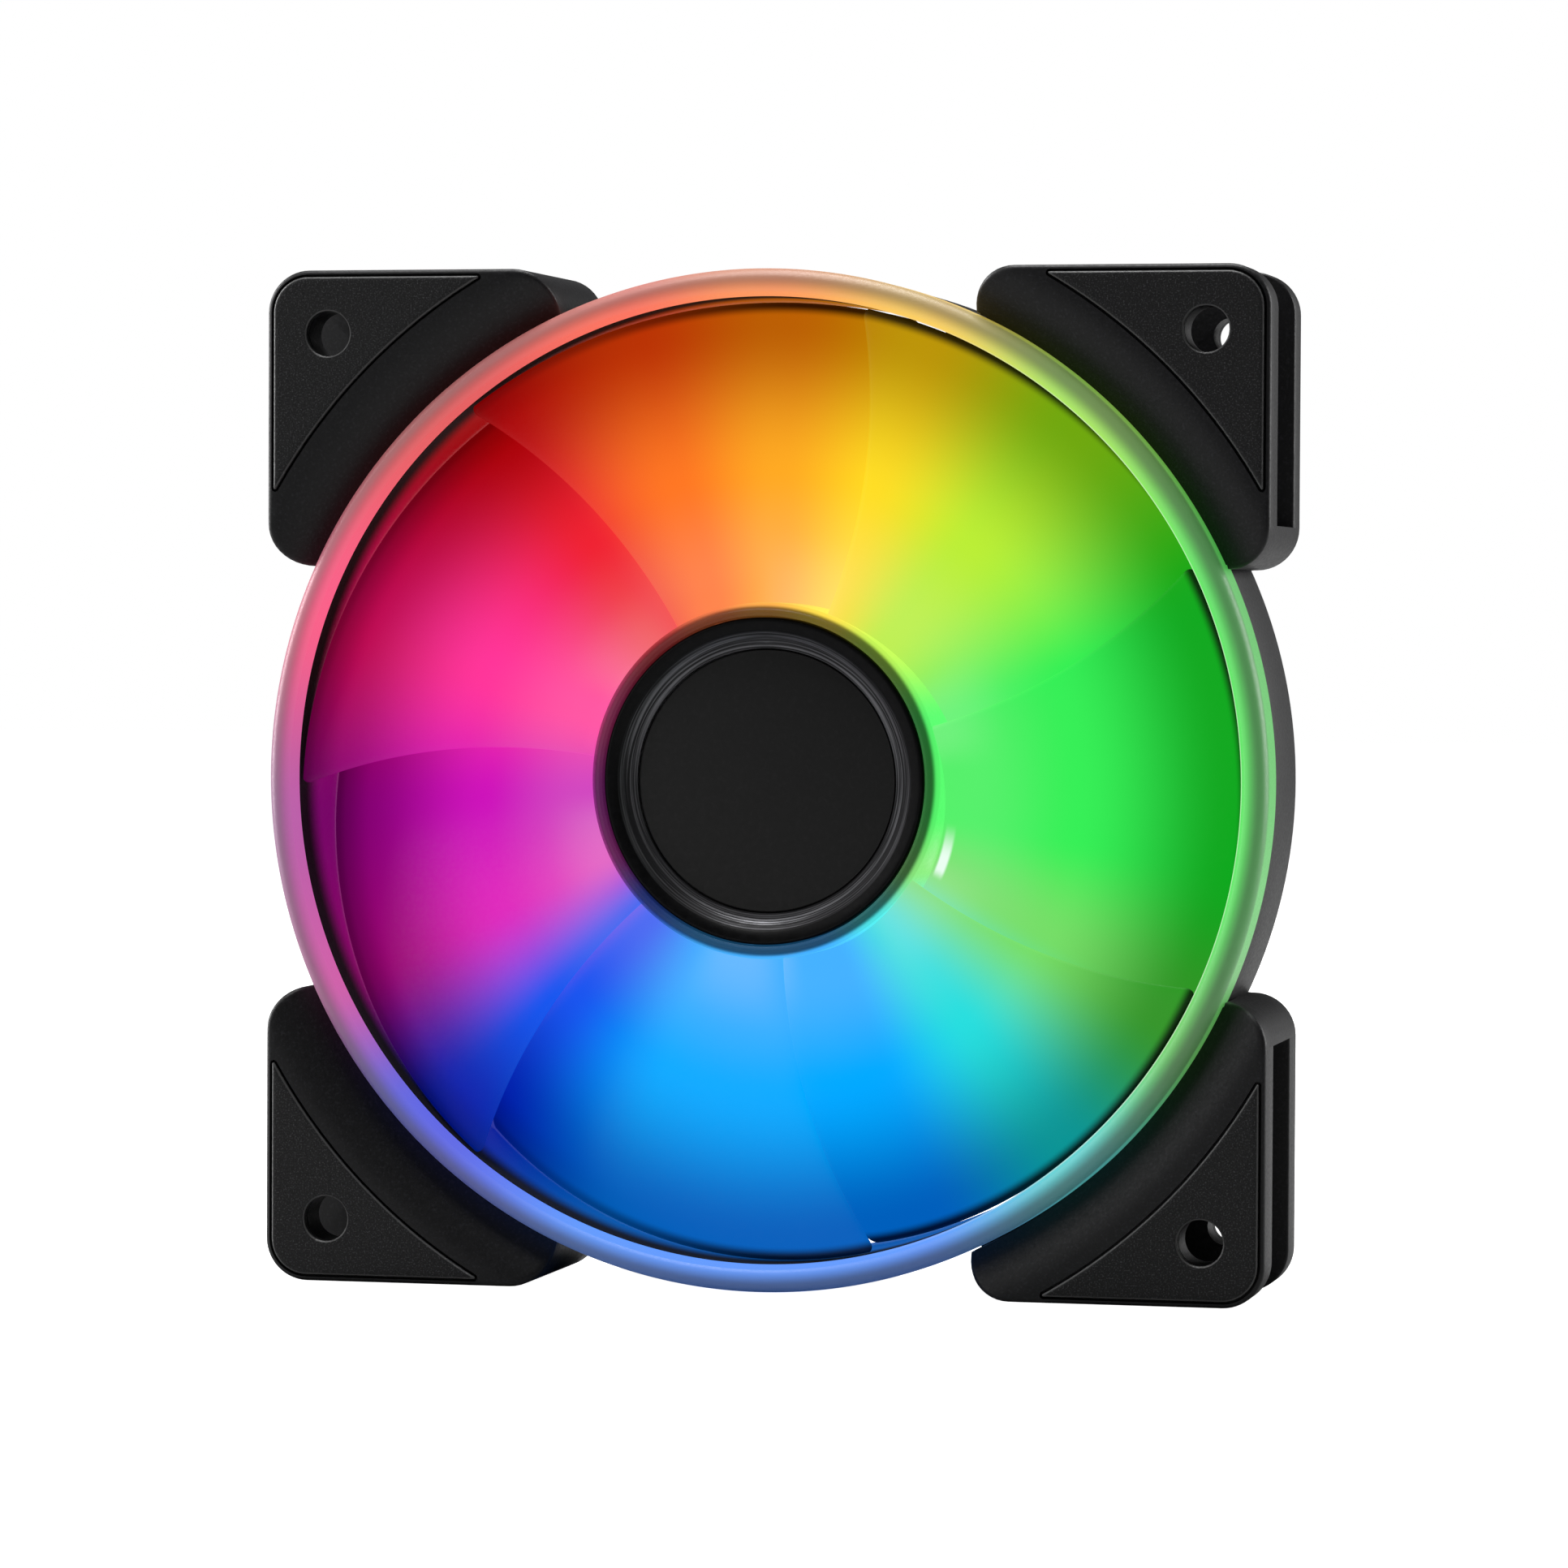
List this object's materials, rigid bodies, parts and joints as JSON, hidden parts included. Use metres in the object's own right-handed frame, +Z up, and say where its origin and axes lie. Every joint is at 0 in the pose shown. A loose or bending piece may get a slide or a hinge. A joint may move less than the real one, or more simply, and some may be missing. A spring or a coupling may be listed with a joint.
{
  "type": "computer case fan",
  "caption": "Square black case fan with a glowing bladed rotor, a raised light ring around the intake, open corner slots and screw holes in textured corner pads.",
  "frame": {"origin": "middle of the fan on the rotor's axis, halfway between the front and rear faces", "axes": "+X right and +Z up as seen from the intake side, +Y along the rotor's axis from the intake to the exhaust"},
  "size_m": [0.12, 0.025, 0.12],
  "materials": {
    "frame_plastic": "fine grain, matte black",
    "pad_rubber": "coarse moulded grain, matte black",
    "ring_diffuser": "frosted, lit from within",
    "rotor_plastic": "milky translucent, lit from the hub",
    "cap_plastic": "satin black",
    "badge": "matte black, blank",
    "steel": "pressed steel",
    "ferrite": "dull dark grey bonded ferrite",
    "brass": "turned brass",
    "bronze": "oil-filled sintered bronze",
    "nylon": "off-white moulded nylon",
    "copper": "enamelled copper wire",
    "circuit_board": "green solder mask",
    "lamp": "clear lens over the lamp",
    "chip": "moulded black package",
    "chip_ceramic": "tan ceramic body",
    "label": "blank grey film"
  },
  "bodies": {
    "stator": {"frame": "frame_plastic", "light_ring": "ring_diffuser", "pad_front_top_right": "pad_rubber", "pad_front_top_left": "pad_rubber", "pad_front_bottom_left": "pad_rubber", "pad_front_bottom_right": "pad_rubber", "pad_rear_top_right": "pad_rubber", "pad_rear_top_left": "pad_rubber", "pad_rear_bottom_left": "pad_rubber", "pad_rear_bottom_right": "pad_rubber", "stator_core": "steel", "bobbin_front": "nylon", "bobbin_rear": "nylon", "coil_1": "copper", "coil_2": "copper", "coil_3": "copper", "coil_4": "copper", "bearing_tube": "brass", "sleeve_bearing": "bronze", "thrust_pad": "nylon", "bearing_plug": "steel", "motor_board": "circuit_board", "hub_led_1": "lamp", "hub_led_2": "lamp", "hub_led_3": "lamp", "hub_led_4": "lamp", "hub_led_5": "lamp", "hub_led_6": "lamp", "driver_chip": "chip", "hall_sensor": "chip", "capacitor_1": "chip_ceramic", "capacitor_2": "chip_ceramic", "rear_label": "label"},
    "rotor": {"impeller": "rotor_plastic", "hub_cap": "cap_plastic", "hub_badge": "badge", "rotor_yoke": "steel", "rotor_magnet": "ferrite", "shaft_boss": "brass", "shaft": "steel", "oil_slinger": "nylon", "retaining_clip": "nylon"}
  },
  "joints": [
    {"name": "rotor_spin", "type": "hinge", "parent": "stator", "child": "rotor", "pos_m": [0, 0, 0], "axis": [0, 1, 0], "continuous": true}
  ]
}
